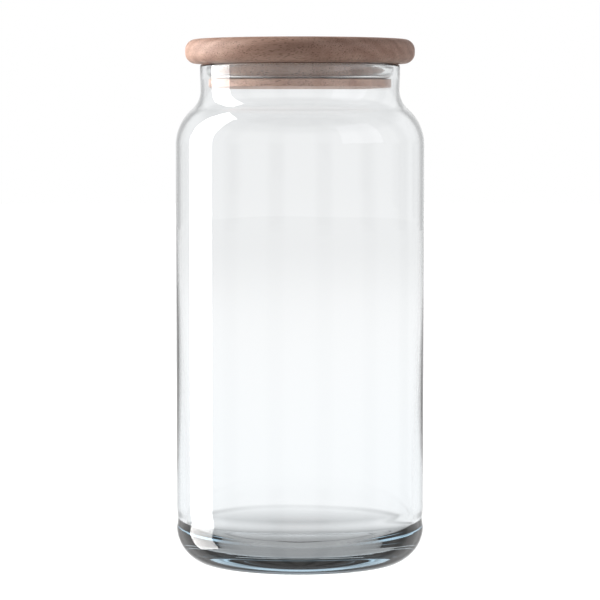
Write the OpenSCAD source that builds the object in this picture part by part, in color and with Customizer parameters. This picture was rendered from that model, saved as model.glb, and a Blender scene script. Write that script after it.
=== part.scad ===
// Clear glass storage jar for a sourdough starter: a blown jar, a turned beech lid that plugs
// its neck, and a clear sealing ring in the plug's groove. Lengths are in millimetres. The
// origin is in the middle of the ring that the jar stands on, and +Z is up.

/* [Jar] */
// Outside diameter of the body
body_d = 106; // [96:1:130]
// Height of the jar alone, from the table to the top of its lip
jar_h = 212.2; // [150:0.1:260]
// Outside diameter of the neck at its narrowest
neck_d = 84.8; // [68:0.1:90]
// Thickness of the glass in the body, the shoulder and the neck
wall = 2; // [1.5:0.1:3]
// Straight height of the neck, from the end of the shoulder's curve to the top of the lip
neck_h = 10.8; // [10:0.1:24]
// How far the neck flares out, on each side, from its narrowest to the lip
lip_flare = 0.25; // [0:0.05:0.8]

/* [Shoulder] */
// Radius of the round shoulder, outside
shoulder_r = 20; // [12:0.5:26]
// Radius of the hollow curve from the shoulder up into the neck, outside
neck_fillet_r = 11; // [6:0.5:16]

/* [Heel] */
// Radius of the round heel, outside
heel_r = 15.8; // [11:0.1:20]
// How far the foot ring's outer edge lies in from the body's side
foot_inset = 9.3; // [6:0.1:10.5]
// Depth of the shallow draw-in above the heel
waist_depth = 0.42; // [0:0.02:0.8]
// Height of that draw-in
waist_h = 9; // [6:0.5:16]
// Thickness of the glass at the top of the heel's inner curve
heel_wall = 4.3; // [3:0.1:6]
// Radius of the inner curve from the wall to the floor
inner_heel_r = 10.5; // [7:0.5:14]
// How far below the shoulder's curve the thick glass has thinned out to the body's wall
thin_below = 58; // [30:1:90]

/* [Base] */
// Height of the inner floor, at its lowest ring, above the table
floor_z = 8; // [6.5:0.1:11]
// Rise of the inner floor from that ring to its centre
floor_crown = 1.2; // [0:0.1:3]
// Width of the flat ring that the jar stands on
foot_w = 1.2; // [0.8:0.1:3]
// Height of the step from the foot ring up to the pushed-up underside
foot_h = 0.9; // [0.5:0.1:2]
// Height of the underside above the table at its centre
push_up = 2.8; // [2:0.1:4]
// Diameter of the ring that the mould's base plate leaves on the underside
mould_ring_d = 64.6; // [40:0.2:74]
// Width of that ring
mould_ring_w = 3.4; // [2:0.1:5]
// How far that ring stands out of the underside
mould_ring_h = 0.35; // [0.1:0.05:0.6]

/* [Lid] */
// Thickness of the disc
disc_t = 10.3; // [8:0.1:16]
// How far the disc reaches past the outside of the lip
disc_overhang = 6.25; // [4:0.05:12]
// Radius of the disc's rounded edge, above and below a short straight band
disc_edge_r = 4.5; // [2:0.1:5]
// Clearance between the disc and the top of the lip
disc_gap = 0.3; // [0.1:0.05:1]
// Height of the plug's groove, which is also how far its flange hangs below the disc
groove_h = 6.9; // [6:0.1:9]
// Depth of the groove, in from the flange's edge
groove_depth = 2.7; // [2:0.1:4]
// Thickness of the flange below the groove
flange_t = 3.1; // [2:0.1:5]
// Clearance between the flange and the inside of the neck
flange_gap = 1.5; // [0.8:0.05:3]
// Size of the small bevels on the flange and the groove's corner
arris = 0.3; // [0.1:0.05:0.6]

/* [Gasket] */
// Clearance between the gasket's lips and the inside of the neck
lip_gap = 0.3; // [0.1:0.05:1]
// Clearance between the gasket's inside and the bottom of the groove
core_gap = 0.1; // [0.05:0.01:0.2]
// Clearance above and below the gasket in the groove
face_gap = 0.1; // [0.05:0.01:0.3]
// Height of the thin upper lip
upper_lip_h = 1.7; // [1.2:0.1:2]
// Depth of the notch between the two lips
notch_depth = 1.3; // [0.6:0.1:1.8]
// Radius of the curve on the top of the lower lip
lower_lip_top_r = 1.1; // [0.6:0.1:1.4]

/* [Hidden] */
// Facets of a full turn, and of a full circle in an outline
turn_fn = 180;
arc_fn = 72;

body_r = body_d / 2;
neck_r = neck_d / 2;
mouth_r = neck_r - wall;
lip_r = neck_r + lip_flare;
lip_edge_r = (lip_r - mouth_r) / 2;

// The shoulder's and the neck's curves touch where both lean by the same angle
neck_z = jar_h - neck_h;
shoulder_x = body_r - shoulder_r;
neck_curve_x = neck_r + neck_fillet_r;
shoulder_a = acos((neck_curve_x - shoulder_x) / (shoulder_r + neck_fillet_r));
shoulder_z = neck_z - (shoulder_r + neck_fillet_r) * sin(shoulder_a);

// The heel's arc starts level with the wall and is cut off by the table at the foot ring
foot_r = body_r - foot_inset;
heel_x = body_r - heel_r;
heel_z = sqrt(pow(heel_r, 2) - pow(foot_r - heel_x, 2));
heel_a = acos((foot_r - heel_x) / heel_r);
foot_in_r = foot_r - foot_w;
dome_r = foot_in_r - foot_h;

// The inner heel's arc ends level with the wall's thick end and with the floor
inner_heel_x = body_r - heel_wall - inner_heel_r;
inner_heel_z = floor_z + inner_heel_r;
thin_z = shoulder_z - thin_below;

disc_r = lip_r + disc_overhang;
disc_z = jar_h + disc_gap;
edge_r = min(disc_edge_r, disc_t / 2 - 0.1);
flange_r = mouth_r - flange_gap;
core_r = flange_r - groove_depth;
flange_top = disc_z - groove_h;
flange_z = flange_top - flange_t;

gasket_r = mouth_r - lip_gap;
gasket_in_r = core_r + core_gap;
gasket_z = flange_top + face_gap;
gasket_top = disc_z - face_gap;
upper_lip_r = upper_lip_h / 2;
notch_z = gasket_top - upper_lip_h;
lower_lip_z = notch_z - lower_lip_top_r;
lower_lip_r = min(lower_lip_z - gasket_z, gasket_r - gasket_in_r - 0.1);

// Points of an arc about centre, from angle a to angle b
function arc(centre, r, a, b) =
    let (n = max(2, ceil(abs(b - a) * arc_fn / 360)))
    [for (i = [0:n]) let (t = a + (b - a) * i / n) centre + r * [cos(t), sin(t)]];

// The points after the first, which the curve before them has drawn already
function after(points) = [for (i = [1:len(points) - 1]) points[i]];

// A smooth fall from 1 to 0 as t goes from 0 to 1, level at both ends
function ease(t) = (1 + cos(180 * min(max(t, 0), 1))) / 2;

// A hump of height 1 that rises fast from t = 0 and dies away level at t = 1
function hump(t) = 6.75 * t * pow(1 - t, 2);

// Outside radius of the body above the heel, drawn in a little where the heel's mould ended
function side_r(z) = body_r - waist_depth * hump(min((z - heel_z) / waist_h, 1));

// Inside radius of the body: thick glass above the heel that thins towards thin_z
function inside_r(z) =
    body_r - wall - (heel_wall - wall) * ease((z - inner_heel_z) / (thin_z - inner_heel_z));

// Height of the inner floor at radius r
function floor_at(r) = floor_z + floor_crown * ease(r / inner_heel_x);

// Height of the underside at radius r: the push-up's dome, less the mould's ring
function under_at(r) =
    foot_h + (push_up - foot_h) * ease(r / dome_r)
    - mould_ring_h * ease(abs(r - mould_ring_d / 2) / (mould_ring_w / 2));

// The jar's section, from the table up the outside, over the lip and down the inside
module jar_section() {
    ring_in = (mould_ring_d - mould_ring_w) / 2;
    ring_out = (mould_ring_d + mould_ring_w) / 2;
    outside = concat(
        [[foot_in_r, 0]],
        arc([heel_x, heel_z], heel_r, -heel_a, 0),
        [for (i = [1:10]) let (z = heel_z + waist_h * i / 10) [side_r(z), z]],
        arc([shoulder_x, shoulder_z], shoulder_r, 0, shoulder_a),
        after(arc([neck_curve_x, neck_z], neck_fillet_r, 180 + shoulder_a, 180)),
        arc([lip_r - lip_edge_r, jar_h - lip_edge_r], lip_edge_r, 0, 180));
    inside = concat(
        arc([neck_curve_x, neck_z], neck_fillet_r + wall, 180, 180 + shoulder_a),
        after(arc([shoulder_x, shoulder_z], shoulder_r - wall, shoulder_a, 0)),
        [for (i = [0:15]) let (z = thin_z + (inner_heel_z - thin_z) * i / 16) [inside_r(z), z]],
        arc([inner_heel_x, inner_heel_z], inner_heel_r, 0, -90),
        [for (i = [1:8]) let (r = inner_heel_x * (1 - i / 8)) [r, floor_at(r)]]);
    underside = concat(
        [for (i = [0:6]) let (r = ring_in * i / 6) [r, under_at(r)]],
        [for (i = [1:8]) let (r = ring_in + mould_ring_w * i / 8) [r, under_at(r)]],
        [for (i = [1:3]) let (r = ring_out + (dome_r - ring_out) * i / 3) [r, under_at(r)]]);
    polygon(concat(outside, inside, underside));
}

module glass_jar() {
    color([0.80, 0.88, 0.87, 0.45])
        rotate_extrude($fn = turn_fn) jar_section();
}

// The lid's section: plug, groove and rounded disc, from the middle of the plug's underside
module lid_section() {
    polygon(concat(
        [[0, flange_z], [flange_r - arris, flange_z], [flange_r, flange_z + arris]],
        [[flange_r, flange_top - arris], [flange_r - arris, flange_top]],
        [[core_r, flange_top], [core_r, disc_z]],
        arc([disc_r - edge_r, disc_z + edge_r], edge_r, -90, 0),
        arc([disc_r - edge_r, disc_z + disc_t - edge_r], edge_r, 0, 90),
        [[0, disc_z + disc_t]]));
}

module wooden_lid() {
    color([0.80, 0.62, 0.50])
        rotate_extrude($fn = turn_fn) lid_section();
}

// The gasket's section: a full lower lip that rolls under, a notch, and a thin upper lip
module gasket_section() {
    polygon(concat(
        [[gasket_in_r, gasket_z]],
        arc([gasket_r - lower_lip_r, gasket_z + lower_lip_r], lower_lip_r, -90, 0),
        arc([gasket_r - lower_lip_top_r, lower_lip_z], lower_lip_top_r, 0, 50),
        [[gasket_r - notch_depth, notch_z]],
        arc([gasket_r - upper_lip_r, gasket_top - upper_lip_r], upper_lip_r, -50, 90),
        [[gasket_in_r, gasket_top]]));
}

module lid_gasket() {
    color([0.85, 0.87, 0.86, 0.6])
        rotate_extrude($fn = turn_fn) gasket_section();
}

glass_jar();
wooden_lid();
lid_gasket();
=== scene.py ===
# %% [markdown]
# # A clear storage jar with a beech lid
# The object is three pieces: a blown glass jar, a turned beech lid that plugs its neck, and a clear
# sealing ring in the plug's groove. The frame gives where each piece sits and how it moves, and
# this lesson gives the pieces their final surfaces, the studio and the camera.

# %% Load the frame
import math

import bpy
import bmesh
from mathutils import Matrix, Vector


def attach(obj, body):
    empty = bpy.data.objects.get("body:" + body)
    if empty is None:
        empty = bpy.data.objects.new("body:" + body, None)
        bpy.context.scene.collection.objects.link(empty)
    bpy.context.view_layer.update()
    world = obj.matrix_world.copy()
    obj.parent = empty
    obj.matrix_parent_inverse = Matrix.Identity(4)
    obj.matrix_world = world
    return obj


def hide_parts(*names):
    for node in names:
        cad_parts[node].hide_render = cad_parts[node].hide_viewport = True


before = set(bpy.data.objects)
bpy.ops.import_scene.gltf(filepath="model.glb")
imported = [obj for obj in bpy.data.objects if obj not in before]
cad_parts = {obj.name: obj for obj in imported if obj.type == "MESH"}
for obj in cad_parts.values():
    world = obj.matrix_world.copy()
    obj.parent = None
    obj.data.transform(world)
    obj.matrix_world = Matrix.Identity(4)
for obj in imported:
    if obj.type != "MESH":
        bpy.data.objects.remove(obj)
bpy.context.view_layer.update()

scene = bpy.context.scene

# %% [markdown]
# ## Shader maths as plain expressions
# A finish is a formula over the surface. Building it from separate nodes by hand is slow to read,
# so one small class wraps a socket and lets + - * add the Math nodes. Colours and vectors go
# through Mix and Vector Math nodes, because a Math node would turn a colour grey.


# %% A socket that can be used in sums
class Wire:
    def __init__(self, graph, socket):
        self.graph = graph
        self.socket = socket

    def maths(self, operation, first, second=0.0):
        return self.graph.node("ShaderNodeMath", {"operation": operation}, {0: first, 1: second})

    def __add__(self, other):
        return self.maths("ADD", self, other)

    def __sub__(self, other):
        return self.maths("SUBTRACT", self, other)

    def __rsub__(self, other):
        return self.maths("SUBTRACT", other, self)

    def __mul__(self, other):
        return self.maths("MULTIPLY", self, other)

    def __pow__(self, other):
        return self.maths("POWER", self, other)

    __radd__ = __add__
    __rmul__ = __mul__

    def sine(self):
        return self.maths("SINE", self)

    def larger(self, other):
        return self.maths("MAXIMUM", self, other)

    def between(self, low, high, start=0.0, end=1.0):
        """start where the value is low, end where it is high, and a soft step between."""
        return self.graph.node("ShaderNodeMapRange", {"interpolation_type": "SMOOTHSTEP"},
                               {0: self, 1: low, 2: high, 3: start, 4: end})


# %% A node tree, with one method that makes any node
class Graph:
    def __init__(self, tree):
        self.tree = tree
        tree.nodes.clear()

    def node(self, kind, settings=None, sockets=None, output=0):
        made = self.tree.nodes.new(kind)
        for name, value in (settings or {}).items():
            if name == "stops":
                ramp = made.color_ramp.elements
                while len(ramp) < len(value):
                    ramp.new(1.0)
                for stop, (place, colour) in zip(ramp, value):
                    stop.position = place
                    stop.color = (*colour, 1.0)
            else:
                setattr(made, name, value)
        for name, value in (sockets or {}).items():
            if isinstance(value, Wire):
                self.tree.links.new(value.socket, made.inputs[name])
            else:
                made.inputs[name].default_value = value
        return Wire(self, made.outputs[output]) if made.outputs else None

    def place(self, kind="Object"):
        """Where a point lies: in metres for Object, or a direction for Generated in a world."""
        return self.node("ShaderNodeTexCoord", {}, {}, kind)

    def noise(self, vector, scale, detail, roughness=0.5):
        return self.node("ShaderNodeTexNoise", {}, {
            "Vector": vector, "Scale": scale, "Detail": detail, "Roughness": roughness})

    def blend(self, factor, a, b):
        """Colour a where factor is 0 and colour b where it is 1."""
        return self.node("ShaderNodeMix", {"data_type": "RGBA"}, {0: factor, 6: a, 7: b}, 2)

    def parts(self, vector):
        """The x, y and z of a vector."""
        split = self.node("ShaderNodeSeparateXYZ", {}, {0: vector})
        return [Wire(self, out) for out in split.socket.node.outputs]

    def light_path(self, name):
        return self.node("ShaderNodeLightPath", {}, {}, name)


def new_finish(name):
    """A new material, and the graph that its nodes go into."""
    material = bpy.data.materials.new(name)
    material.use_nodes = True
    return material, Graph(material.node_tree)


def grey(value):
    return (value, value, value, 1.0)


# %% [markdown]
# ## The camera
# The photograph looks at the jar from a little below its lid, from far away: the neck, the body and
# the heel curve down only slightly more than a side view would. The camera's distance, height and
# lens were worked out from the jar's outline, and the camera isn't shifted, so that any other view
# of the object frames it just as well.

# %% Camera
CAMERA_AWAY = 1.180
CAMERA_HIGH = 0.1888
CAMERA_DOWN = math.radians(3.745)
CAMERA_LENS = 165.5

camera = bpy.data.objects.new("camera", bpy.data.cameras.new("camera"))
camera.location = (0.0, -CAMERA_AWAY, CAMERA_HIGH)
camera.rotation_euler = (math.pi / 2 - CAMERA_DOWN, 0.0, 0.0)
camera.data.lens = CAMERA_LENS
scene.collection.objects.link(camera)
scene.camera = camera
scene.view_settings.view_transform = "Standard"
print("camera", [round(v, 4) for v in camera.location])

# %% [markdown]
# ## The surroundings
# Clear glass has no colour to show: what the eye reads is what the glass bends and mirrors. Its
# middle shows the backdrop, and its rim shows what stands some 15 to 30 degrees off to the side. So
# the world is white to the camera, but to rays that have met glass it is a pale studio with soft
# grey panels between the white ones, and it is darker overhead. The panels repeat every 45 degrees,
# so that the rim reads from every side. Below the horizon it brightens, as a lit floor would, and
# plain surfaces get only a low, even light from it.

# %% World
AMBIENT = 0.13
BACKDROP = 0.87
OVERHEAD = 0.42
PANEL_DARK = 0.34
PANELS_ROUND = 8.0
PANEL_EDGES = (0.05, 0.98)

world = bpy.data.worlds.new("studio")
world.use_nodes = True
scene.world = world
sky = Graph(world.node_tree)
east, north, up = sky.parts(sky.place("Generated"))
azimuth = sky.node("ShaderNodeMath", {"operation": "ARCTAN2"}, {0: east, 1: north})
panels = (azimuth * PANELS_ROUND - math.pi / 2).sine().between(*PANEL_EDGES)
level = up.between(-0.15, 0.03, 1.0, BACKDROP)
overhead = up.between(0.42, 0.62)
seen_level = (level * (1.0 - panels * PANEL_DARK)) * (1.0 - overhead * (1.0 - OVERHEAD))
to_camera = sky.light_path("Is Camera Ray")
through_glass = sky.light_path("Is Glossy Ray").larger(sky.light_path("Is Transmission Ray"))
others = seen_level * through_glass + (1.0 - through_glass) * AMBIENT
strength = to_camera + (1.0 - to_camera) * others
background = sky.node("ShaderNodeBackground", {}, {"Color": grey(1.0), "Strength": strength})
sky.node("ShaderNodeOutputWorld", {}, {"Surface": background})
print("world: backdrop", BACKDROP, "through glass, ambient", AMBIENT)

# %% [markdown]
# ## The lamps
# The photograph shows one tall soft light on the left, level with the jar or a little behind it: it
# draws the long white strip down the glass and lights the left end of the lid. A weaker, broader one
# stands to the right and in front. Both hide from the camera, and neither is seen straight through
# the glass.


# %% Soft boxes
def soft_box(name, azimuth, away, middle, wide, high, radiance, colour):
    """A lamp that faces the jar's axis, level. Its azimuth is in degrees, from the camera to the right."""
    data = bpy.data.lights.new(name, "AREA")
    data.shape = "RECTANGLE"
    data.size = wide
    data.size_y = high
    data.energy = radiance * math.pi * wide * high
    data.color = colour
    lamp = bpy.data.objects.new(name, data)
    turn = math.radians(azimuth)
    lamp.location = (away * math.sin(turn), -away * math.cos(turn), middle)
    aim = Vector((0.0, 0.0, middle)) - lamp.location
    lamp.rotation_euler = aim.to_track_quat("-Z", "Y").to_euler()
    lamp.visible_camera = False
    lamp.visible_transmission = False
    scene.collection.objects.link(lamp)


soft_box("left_box", -104, 1.05, 0.45, 0.64, 2.1, 8.5, (1.0, 0.985, 0.97))
soft_box("right_box", 60, 1.5, 0.95, 1.2, 1.3, 1.1, (0.94, 0.93, 1.0))

# %% [markdown]
# ## The floor
# A wide pale sheet. To the camera it is white: away from the jar its own light alone makes it so, and
# it meets the backdrop without a seam, while close to the jar a part of that light comes from the
# lamps, which leaves a soft shadow. Glossy rays pass it by, so that the long reflection of the left
# lamp reaches down to the heel, as it does in the photograph. Seen through glass it is plain white,
# fades slightly with distance, and has a painted shadow under the jar, where the base keeps lamps off.

# %% Floor
FLOOR_REACH = 5.0
FLOOR_SIDES = 64

floor_mesh = bpy.data.meshes.new("floor")
turns = [2 * math.pi * i / FLOOR_SIDES for i in range(FLOOR_SIDES)]
rim = [(FLOOR_REACH * math.cos(a), FLOOR_REACH * math.sin(a), 0.0) for a in turns]
floor_mesh.from_pydata(rim, [], [list(range(FLOOR_SIDES))])
floor = bpy.data.objects.new("floor", floor_mesh)
scene.collection.objects.link(floor)
floor.visible_glossy = False
print("floor radius", FLOOR_REACH, "m")

# %% Floor material
FAR_FLOOR = 3.2
# painted shadow: how much of the floor's light, seen through glass, is left right under the jar
SHADOW_UNDER_JAR = 0.30

floor_material, sheet = new_finish("pale_floor")
away = sheet.node("ShaderNodeVectorMath", {"operation": "LENGTH"}, {0: sheet.place()}, "Value")
own_light = away.between(0.08, 0.45, 0.68, 1.0) * sheet.light_path("Is Camera Ray")
lit = sheet.node("ShaderNodeBsdfDiffuse", {}, {"Color": grey(0.55)})
glow = sheet.node("ShaderNodeEmission", {}, {"Color": grey(1.0), "Strength": own_light})
to_eye = sheet.node("ShaderNodeAddShader", {}, {0: lit, 1: glow})
# a painted shadow: seen through glass, the floor's own light is dimmed right under the jar
painted_shadow = away.between(0.035, 0.110, SHADOW_UNDER_JAR, 1.0)
seen_white = painted_shadow * away.between(0.0, FAR_FLOOR, 1.0, BACKDROP)
in_glass = sheet.node("ShaderNodeEmission", {}, {"Color": grey(1.0), "Strength": seen_white})
glassy = sheet.light_path("Is Transmission Ray")
sheet.node("ShaderNodeOutputMaterial", {}, {
    "Surface": sheet.node("ShaderNodeMixShader", {}, {0: glassy, 1: to_eye, 2: in_glass})})
floor_mesh.materials.append(floor_material)
print("floor finish:", len(floor_material.node_tree.nodes), "nodes")

# %% [markdown]
# ## Turning a section into a surface
# All three pieces are bodies of revolution: the jar was blown in a mould and spun, the lid was
# turned on a lathe, and the ring came out of a round mould. So each is drawn as half a section, in
# millimetres, and swept round the axis. Smooth shading then gives true round reflections.

# %% Arcs, easing and the lathe
MM = 0.001


def arc(centre, radius, start, end, step=5.0):
    """Points of an arc from one angle to another, in degrees, both ends included."""
    count = max(2, math.ceil(abs(end - start) / step))
    angles = [math.radians(start + (end - start) * i / count) for i in range(count + 1)]
    return [(centre[0] + radius * math.cos(a), centre[1] + radius * math.sin(a)) for a in angles]


def ease(t):
    """A smooth fall from 1 to 0 as t goes from 0 to 1, level at both ends."""
    return (1 + math.cos(math.pi * min(max(t, 0.0), 1.0))) / 2


def lathe(name, section, turns, closed=True, nudge=None):
    """Sweeps (r, z) points round the axis. nudge(r, z, angle) adds a little to a radius.

    A point on the axis becomes a single vertex, and its faces are triangles. A closed section joins
    its last point to its first; an open one has both of its ends on the axis.
    """
    mesh = bpy.data.meshes.new(name)
    form = bmesh.new()
    rows = []
    for r, z in section:
        if r < 1e-6:
            rows.append([form.verts.new((0.0, 0.0, z * MM))])
            continue
        row = []
        for i in range(turns):
            angle = 2 * math.pi * i / turns
            reach = (r + (nudge(r, z, angle) if nudge else 0.0)) * MM
            row.append(form.verts.new((reach * math.cos(angle), reach * math.sin(angle), z * MM)))
        rows.append(row)
    pairs = list(zip(rows, rows[1:])) + ([(rows[-1], rows[0])] if closed else [])
    for low, high in pairs:
        for i in range(turns):
            j = (i + 1) % turns
            corners = [low[i % len(low)], low[j % len(low)], high[j % len(high)], high[i % len(high)]]
            face = [c for n, c in enumerate(corners) if c not in corners[:n]]
            if len(face) > 2:
                form.faces.new(face)
    bmesh.ops.recalc_face_normals(form, faces=form.faces[:])
    form.to_mesh(mesh)
    form.free()
    mesh.shade_smooth()
    piece = bpy.data.objects.new(name, mesh)
    scene.collection.objects.link(piece)
    print(name, len(mesh.vertices), "points,", len(mesh.polygons), "faces")
    return piece


# %% [markdown]
# ## The jar's glass
# The outside follows the mould: a straight body, a round shoulder, a hollow curve into the neck and
# a fire-polished lip. The inside never met a mould. Glass sank towards the heel while it was hot, so
# the wall thickens downwards, the floor is crowned, and the inside is very slightly uneven, which is
# what makes a real jar's reflections swim.

# %% The jar's sizes, in millimetres
BODY_R, NECK_R, WALL, JAR_H = 53.0, 42.4, 2.0, 212.2
LIP_R, NECK_Z = 42.65, 201.4
MOUTH_R = NECK_R - WALL
SHOULDER_R, NECK_CURVE_R = 20.0, 11.0
HEEL_R, FOOT_R, FOOT_IN_R = 15.8, 43.7, 42.5
WAIST_DEPTH, WAIST_H = 0.42, 9.0
HEEL_WALL, INNER_HEEL_R, THIN_BELOW = 4.3, 10.5, 58.0
FLOOR_Z, FLOOR_CROWN = 8.0, 1.2
FOOT_H, PUSH_UP = 0.9, 2.8
RING_R, RING_W, RING_H = 32.3, 3.4, 0.35

shoulder_x = BODY_R - SHOULDER_R
neck_curve_x = NECK_R + NECK_CURVE_R
lean = math.acos((neck_curve_x - shoulder_x) / (SHOULDER_R + NECK_CURVE_R))
shoulder_z = NECK_Z - (SHOULDER_R + NECK_CURVE_R) * math.sin(lean)
lean_deg = math.degrees(lean)
heel_x = BODY_R - HEEL_R
heel_z = math.sqrt(HEEL_R ** 2 - (FOOT_R - heel_x) ** 2)
heel_deg = math.degrees(math.acos((FOOT_R - heel_x) / HEEL_R))
inner_heel_x = BODY_R - HEEL_WALL - INNER_HEEL_R
inner_heel_z = FLOOR_Z + INNER_HEEL_R
thin_z = shoulder_z - THIN_BELOW
dome_r = FOOT_IN_R - FOOT_H
print("shoulder starts at z", round(shoulder_z, 2), "heel's arc at z", round(heel_z, 2))


# %% The jar's section
def side_r(t):
    """Outside radius above the heel, at share t of the draw-in's height."""
    return BODY_R - WAIST_DEPTH * 6.75 * t * (1 - t) ** 2


def inside_r(z):
    """Inside radius of the body, which narrows from thin_z down to the heel."""
    return BODY_R - WALL - (HEEL_WALL - WALL) * ease((z - inner_heel_z) / (thin_z - inner_heel_z))


def under_at(r):
    """Height of the underside: the push-up's dome, less the ring left by the mould's base plate."""
    ring = RING_H * ease(abs(r - RING_R) / (RING_W / 2))
    return FOOT_H + (PUSH_UP - FOOT_H) * ease(r / dome_r) - ring


# %% Trace the section, up the outside, over the lip and down the inside
lip_edge = (LIP_R - MOUTH_R) / 2
outside = [(FOOT_IN_R, 0.0)]
outside += arc((heel_x, heel_z), HEEL_R, -heel_deg, 0, 3)
outside += [(side_r(i / 10), heel_z + WAIST_H * i / 10) for i in range(1, 11)]
outside += [(BODY_R, z) for z in range(40, 161, 20)]
outside += arc((shoulder_x, shoulder_z), SHOULDER_R, 0, lean_deg, 3)
outside += arc((neck_curve_x, NECK_Z), NECK_CURVE_R, 180 + lean_deg, 180, 3)[1:]
outside += arc((LIP_R - lip_edge, JAR_H - lip_edge), lip_edge, 0, 180, 10)
inside = arc((neck_curve_x, NECK_Z), NECK_CURVE_R + WALL, 180, 180 + lean_deg, 3)
inside += arc((shoulder_x, shoulder_z), SHOULDER_R - WALL, lean_deg, 0, 3)[1:]
thinning = [thin_z + (inner_heel_z - thin_z) * i / 24 for i in range(24)]
inside += [(inside_r(z), z) for z in thinning]
inside += arc((inner_heel_x, inner_heel_z), INNER_HEEL_R, 0, -90, 3)
inside += [(r, FLOOR_Z + FLOOR_CROWN * ease(r / inner_heel_x))
           for r in (inner_heel_x * (1 - i / 14) for i in range(1, 15))]
underside = [(dome_r * i / 60, under_at(dome_r * i / 60)) for i in range(61)]
print("section:", len(outside), "points outside,", len(inside), "inside,", len(underside), "under")

# %% Blow the jar
SWIM = 0.05
SWIM_FADE = 20.0
DEEPEST_IN = 3.2
JAR_TURNS = 288


def swim(r, z, angle):
    """The unevenness of the body's inside, in millimetres: long low waves that fade at both ends."""
    on_inside = BODY_R - WALL - DEEPEST_IN < r < BODY_R - WALL + 0.1
    if not (on_inside and inner_heel_z < z < shoulder_z):
        return 0.0
    fade = min((z - inner_heel_z) / SWIM_FADE, 1.0) * min((shoulder_z - z) / SWIM_FADE, 1.0)
    waves = math.sin(3 * angle + z * 0.031) + 0.6 * math.sin(5 * angle - z * 0.052 + 1.3)
    return SWIM * fade * waves


jar = lathe("clear_jar", outside + inside + underside, JAR_TURNS, nudge=swim)
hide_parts("glass_jar")
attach(jar, "jar")

# %% [markdown]
# ## Clear glass
# Soda-lime glass bends light by 1.52 and is almost without colour, but a trace of iron makes long
# paths through it, in the heel and the base, a cold blue-green. That is an absorption in the volume,
# not a surface colour. The lamps' light passes straight through for shadows, and the surface
# carries only the faint long ripples of blown glass and a little haze where hands have been.

# %% Glass material
GLASS_IOR = 1.52
IRON_TINT = (0.34, 0.70, 0.90, 1.0)

glass_material, glass = new_finish("clear_glass")
ripple = glass.noise(glass.place(), 26.0, 1.0)
haze = glass.noise(glass.place(), 90.0, 4.0)
bump = glass.node("ShaderNodeBump", {}, {"Strength": 0.10, "Distance": 0.0004, "Height": ripple})
clear = glass.node("ShaderNodeBsdfPrincipled", {}, {
    "Base Color": (1.0, 1.0, 1.0, 1.0), "Roughness": haze.between(0.55, 0.85, 0.0, 0.035),
    "IOR": GLASS_IOR, "Transmission Weight": 1.0, "Normal": bump})
lamp_path = glass.node("ShaderNodeBsdfTransparent", {}, {"Color": (0.94, 0.96, 0.955, 1.0)})
surface = glass.node("ShaderNodeMixShader", {}, {
    0: glass.light_path("Is Shadow Ray"), 1: clear, 2: lamp_path})
body_colour = glass.node("ShaderNodeVolumeAbsorption", {}, {"Color": IRON_TINT, "Density": 9.5})
glass.node("ShaderNodeOutputMaterial", {}, {"Surface": surface, "Volume": body_colour})
jar.data.materials.append(glass_material)
print("glass finish:", len(glass_material.node_tree.nodes), "nodes")

# %% [markdown]
# ## The lid
# One piece of beech on a lathe: a disc whose edge is rounded above and below a short flat band, and
# under it a plug with a groove for the sealing ring. Its corners are barely broken, as a turner
# leaves them. The grain runs straight through all of it, because nothing is glued.

# %% Turn the lid
DISC_R, DISC_Z, DISC_T, EDGE_R = 48.9, 212.5, 10.3, 4.5
FLANGE_R, CORE_R, FLANGE_Z, FLANGE_TOP = 38.9, 36.2, 202.5, 205.6
ARRIS, CORNER = 0.3, 0.15
TOP_FLAT_R, UNDER_FLAT_R = 40.0, 41.0
LID_TURNS = 256

lid_section = [(FLANGE_R * i / 12, FLANGE_Z) for i in range(12)]
lid_section += arc((FLANGE_R - ARRIS, FLANGE_Z + ARRIS), ARRIS, -90, 0, 15)
lid_section += arc((FLANGE_R - ARRIS, FLANGE_TOP - ARRIS), ARRIS, 0, 90, 15)
lid_section += [(CORE_R + CORNER, FLANGE_TOP), (CORE_R, FLANGE_TOP + CORNER)]
lid_section += [(CORE_R, DISC_Z - CORNER), (CORE_R + CORNER, DISC_Z), (UNDER_FLAT_R, DISC_Z)]
lid_section += arc((DISC_R - EDGE_R, DISC_Z + EDGE_R), EDGE_R, -90, 0, 5)
lid_section += arc((DISC_R - EDGE_R, DISC_Z + DISC_T - EDGE_R), EDGE_R, 0, 90, 5)
lid_section += [(TOP_FLAT_R * (1 - i / 12), DISC_Z + DISC_T) for i in range(13)]
lid = lathe("beech_lid", lid_section, LID_TURNS, closed=False)
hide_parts("wooden_lid")
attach(lid, "lid")

# %% [markdown]
# ## Beech
# Beech is a plain pinkish wood. What tells it apart is its rays: short dark flecks, 2 to 4 mm long
# and under half a millimetre wide, all along the grain. Under them lie soft growth bands and fine
# fibres. All of it is a solid pattern cut by the surface, so that the disc's ends show end grain
# where the grain runs into them, as on the real turning. The lathe's faint rings are only relief.

# %% Colours and the grain's direction
# PER_MM turns metres into millimetres, and TURNING_MARK is the pitch of the tool's marks in metres
GRAIN_TURN = math.radians(14.0)
PER_MM = (1000.0, 1000.0, 1000.0)
TURNING_MARK = 0.0007
PALE, MID = (0.740, 0.500, 0.400), (0.560, 0.345, 0.262)
DARK, FLECK = (0.400, 0.232, 0.172), (0.190, 0.095, 0.065)

beech_material, beech = new_finish("beech")
along = beech.node("ShaderNodeMapping", {}, {
    "Vector": beech.place(), "Rotation": (0.10, 0.05, GRAIN_TURN), "Scale": PER_MM})


def stretched(by):
    """The grain's coordinates, in millimetres, stretched along the grain."""
    return beech.node("ShaderNodeVectorMath", {"operation": "MULTIPLY"}, {0: along, 1: by})


long_grain = stretched((0.05, 1.0, 1.0))
fleck_grain = stretched((0.22, 1.5, 1.2))
print("grain turned by", round(math.degrees(GRAIN_TURN)), "degrees")

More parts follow.
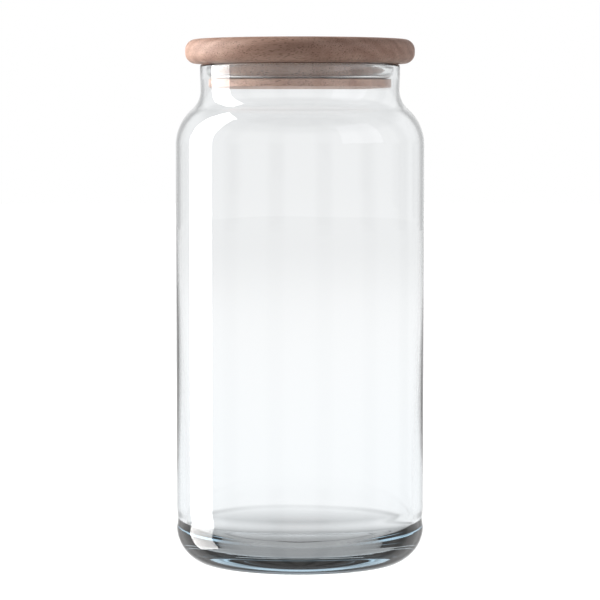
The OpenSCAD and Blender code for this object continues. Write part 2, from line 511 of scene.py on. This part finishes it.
# %% Bands, fibres and flecks
_, across, upward = beech.parts(along)
drift = beech.noise(long_grain, 0.10, 2.0)
bands = (across * 0.55 + upward * 0.95 + drift * 7.0).sine() * 0.5 + 0.5
fibres = beech.noise(long_grain, 3.2, 5.0, 0.65)
mottle = beech.noise(long_grain, 0.35, 3.0)
cells = beech.node("ShaderNodeTexVoronoi", {"feature": "F1"}, {
    "Vector": fleck_grain, "Scale": 1.7, "Randomness": 1.0})
thin_out = beech.noise(fleck_grain, 0.55, 2.0)
flecks = (1.0 - cells.between(0.20, 0.42)) * thin_out.between(0.36, 0.54)
tone = bands * 0.14 + fibres * 0.62 + mottle * 0.34
ground = beech.node("ShaderNodeValToRGB", {
    "stops": [(0.30, DARK), (0.55, MID), (0.80, PALE)]}, {"Fac": tone})
coloured = beech.blend(flecks * 0.75, ground, (*FLECK, 1.0))
print("beech colours, pale to dark:", PALE, MID, DARK)

# %% Turning marks, relief and the wood's surface
x, y, _ = beech.parts(beech.place())
from_axis = (x * x + y * y) ** 0.5
turned = (from_axis * (2 * math.pi / TURNING_MARK)).sine() * 0.5
relief = fibres * 0.7 - flecks * 0.5 + turned * 0.10
grain_bump = beech.node("ShaderNodeBump", {}, {"Strength": 0.45, "Distance": 0.00012, "Height": relief})
wood = beech.node("ShaderNodeBsdfPrincipled", {}, {
    "Base Color": coloured, "Roughness": fibres.between(0.2, 0.8, 0.42, 0.62),
    "Specular IOR Level": 0.35, "Normal": grain_bump})
beech.node("ShaderNodeOutputMaterial", {}, {"Surface": wood})
lid.data.materials.append(beech_material)
print("beech finish:", len(beech_material.node_tree.nodes), "nodes")

# %% [markdown]
# ## The sealing ring
# A clear silicone ring stretched over the flange into the groove. It has a full lower lip that rolls
# under, a sharp notch, and a thin upper lip; both lips bend against the neck as the lid goes in.

# %% Mould the ring
GASKET_R, GASKET_IN_R, GASKET_Z, GASKET_TOP = 40.1, 36.3, 205.7, 212.4
UPPER_LIP_H, NOTCH_DEPTH, TOP_CURVE_R = 1.7, 1.3, 1.1

upper_r = UPPER_LIP_H / 2
notch_z = GASKET_TOP - UPPER_LIP_H
low_z = notch_z - TOP_CURVE_R
low_r = min(low_z - GASKET_Z, GASKET_R - GASKET_IN_R - 0.1)
ring_section = [(GASKET_IN_R, GASKET_Z)]
ring_section += arc((GASKET_R - low_r, GASKET_Z + low_r), low_r, -90, 0, 6)
ring_section += arc((GASKET_R - TOP_CURVE_R, low_z), TOP_CURVE_R, 0, 50, 6)[1:]
ring_section += [(GASKET_R - NOTCH_DEPTH, notch_z)]
ring_section += arc((GASKET_R - upper_r, GASKET_TOP - upper_r), upper_r, -50, 90, 10)
ring_section += [(GASKET_IN_R, GASKET_TOP)]
seal = lathe("sealing_ring", ring_section, LID_TURNS)
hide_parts("lid_gasket")
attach(seal, "seal")

# %% [markdown]
# ## Clear silicone
# It bends light less than glass, has a slightly duller skin, and takes more of the light that
# crosses it, so that the groove behind it stays dark.

# %% Silicone material
SILICONE_IOR = 1.41

silicone_material, silicone = new_finish("clear_silicone")
cloud = silicone.noise(silicone.place(), 220.0, 3.0)
skin = silicone.node("ShaderNodeBump", {}, {"Strength": 0.2, "Distance": 0.0001, "Height": cloud})
soft = silicone.node("ShaderNodeBsdfPrincipled", {}, {
    "Base Color": silicone.blend(cloud, (0.985, 0.99, 0.985, 1.0), (0.95, 0.965, 0.96, 1.0)),
    "Roughness": cloud.between(0.3, 0.7, 0.03, 0.09),
    "IOR": SILICONE_IOR, "Transmission Weight": 1.0, "Normal": skin})
lamp_way = silicone.node("ShaderNodeBsdfTransparent", {}, {"Color": (0.50, 0.48, 0.48, 1.0)})
rubber = silicone.node("ShaderNodeMixShader", {}, {
    0: silicone.light_path("Is Shadow Ray"), 1: soft, 2: lamp_way})
silicone.node("ShaderNodeOutputMaterial", {}, {"Surface": rubber})
seal.data.materials.append(silicone_material)
print("silicone finish:", len(silicone_material.node_tree.nodes), "nodes")
